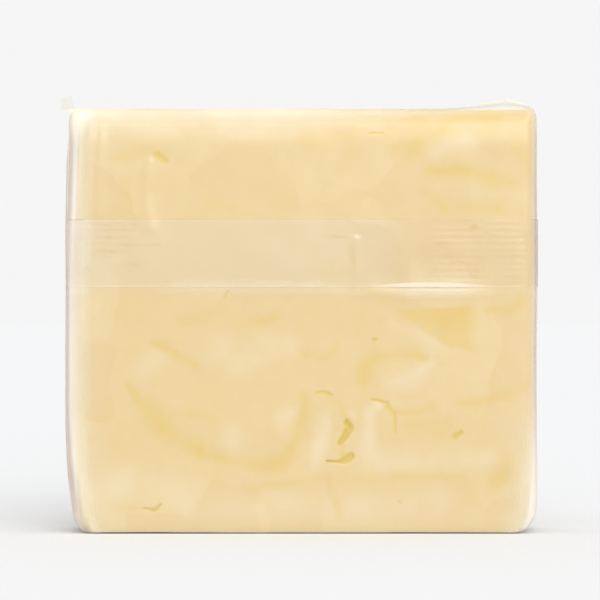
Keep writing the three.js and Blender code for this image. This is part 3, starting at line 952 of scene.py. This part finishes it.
# The milk's yellow and pink are painted warm light picked up from the cheese.
CHEESE_LIT_MILK, WELDED_AND_WARM_LIT_MILK = "#F2ECD6", "#F3E8E0"


def clear_film():
    m = new_material("clear laminate film, heat sealed")
    read = {}
    for name in ("haze", "sheen", "crease", "tinge"):
        read[name] = add_node(m, "ShaderNodeAttribute", attribute_name=name).outputs["Fac"]
    through = mix_colour(m, read["crease"], (1.0, 1.0, 1.0, 1.0), linear(CREASE_SHADE_AND_DOUBLED))
    clear = add_node(m, "ShaderNodeBsdfTransparent", {"Color": through}).outputs[0]
    gloss = add_node(m, "ShaderNodeBsdfGlossy",
                     inputs={"Color": (1, 1, 1, 1), "Roughness": FILM_ROUGHNESS}).outputs[0]
    milk = mix_colour(m, read["tinge"], linear(CHEESE_LIT_MILK), linear(WELDED_AND_WARM_LIT_MILK))
    milky = add_node(m, "ShaderNodeBsdfDiffuse", {"Color": milk}).outputs[0]
    slant = add_node(m, "ShaderNodeLayerWeight", inputs={"Blend": 0.5}).outputs["Facing"]
    slant = add_node(m, "ShaderNodeMath", {0: slant}, {1: 5.0}, operation="POWER").outputs[0]
    mirror = ramp(m, slant, 0.0, 1.0, SQUARE_ON, 1.0)
    mirror = add_node(m, "ShaderNodeMath", {0: mirror, 1: read["sheen"]}, operation="MULTIPLY").outputs[0]
    pane = add_node(m, "ShaderNodeMixShader", {0: mirror, 1: clear, 2: gloss}).outputs[0]
    whole = add_node(m, "ShaderNodeMixShader", {0: read["haze"], 1: pane, 2: milky}).outputs[0]
    add_node(m, "ShaderNodeOutputMaterial", {"Surface": whole})
    return m


film.data.materials.append(clear_film())
print("film:", [m.name for m in film.data.materials])

# %% [markdown]
# The studio is a pale floor under an even, bright surround, with one broad light low from the front
# right and a softer one overhead. The floor is as bright as the surround, so no horizon shows.

# %% The floor, the lights and the camera
SURROUND = 0.92
FLOOR_SIZE = 14000.0
FLOOR_COLOUR = (0.709, 0.7125, 0.719, 1)
FRAME_WIDTH = 130.4
CAMERA_DISTANCE = 800.0
CAMERA_X, CAMERA_HEIGHT = -0.2, 50.8
SENSOR = 36
# Each light's strength, and its spread, azimuth and elevation in degrees.
LIGHTS = {"key": (1.58, 36, 11, 25), "overhead": (0.6, 50, 25, 62)}


def lay_floor():
    bpy.ops.object.select_all(action="DESELECT")
    bpy.ops.mesh.primitive_plane_add(size=FLOOR_SIZE * MM, location=(0, 0, FLOOR))
    floor = bpy.context.object
    floor.name = "floor"
    m = new_material("pale matt floor")
    matt = add_node(m, "ShaderNodeBsdfDiffuse", inputs={"Color": FLOOR_COLOUR})
    add_node(m, "ShaderNodeOutputMaterial", {"Surface": matt.outputs[0]})
    floor.data.materials.append(m)


def light_surround():
    world = bpy.data.worlds.new("even surround")
    world.use_nodes = True
    world.node_tree.nodes["Background"].inputs["Color"].default_value = (1, 1, 1, 1)
    world.node_tree.nodes["Background"].inputs["Strength"].default_value = SURROUND
    bpy.context.scene.world = world


def add_sun(name, strength, spread, azimuth, elevation):
    """A broad distant light. Azimuth 0 shines from the front, and 90 from the right."""
    sun = bpy.data.lights.new(name, "SUN")
    sun.energy, sun.angle = strength, math.radians(spread)
    lamp = bpy.data.objects.new(name, sun)
    bpy.context.collection.objects.link(lamp)
    a, e = math.radians(azimuth), math.radians(elevation)
    towards = Vector((math.sin(a) * math.cos(e), -math.cos(a) * math.cos(e), math.sin(e)))
    lamp.rotation_euler = towards.to_track_quat("Z", "Y").to_euler()


def place_camera():
    camera = bpy.data.objects.new("camera", bpy.data.cameras.new("camera"))
    bpy.context.collection.objects.link(camera)
    camera.data.sensor_width = SENSOR
    camera.data.lens = SENSOR * CAMERA_DISTANCE / FRAME_WIDTH
    camera.data.clip_end = 20
    camera.location = Vector((CAMERA_X, cheese_low.y - CAMERA_DISTANCE, CAMERA_HEIGHT)) * MM
    camera.rotation_euler = (math.pi / 2, 0, 0)
    bpy.context.scene.camera = camera


lay_floor()
light_surround()
for name, settings in LIGHTS.items():
    add_sun(name, *settings)
place_camera()
bpy.context.scene.view_settings.view_transform = "Standard"
print("lights:", list(LIGHTS), "and a surround of", SURROUND)

# %% [markdown]
# Last, each piece is tied to the model: it rides on the one body and stands for its CAD node, whose
# own part is hidden.

# %% Tie the pieces to the model
for piece, node, slot in ((cheese, "cheese_block", "cheese"), (film, "film_wrapper", "clear_film")):
    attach(piece, "root")
    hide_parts(node)
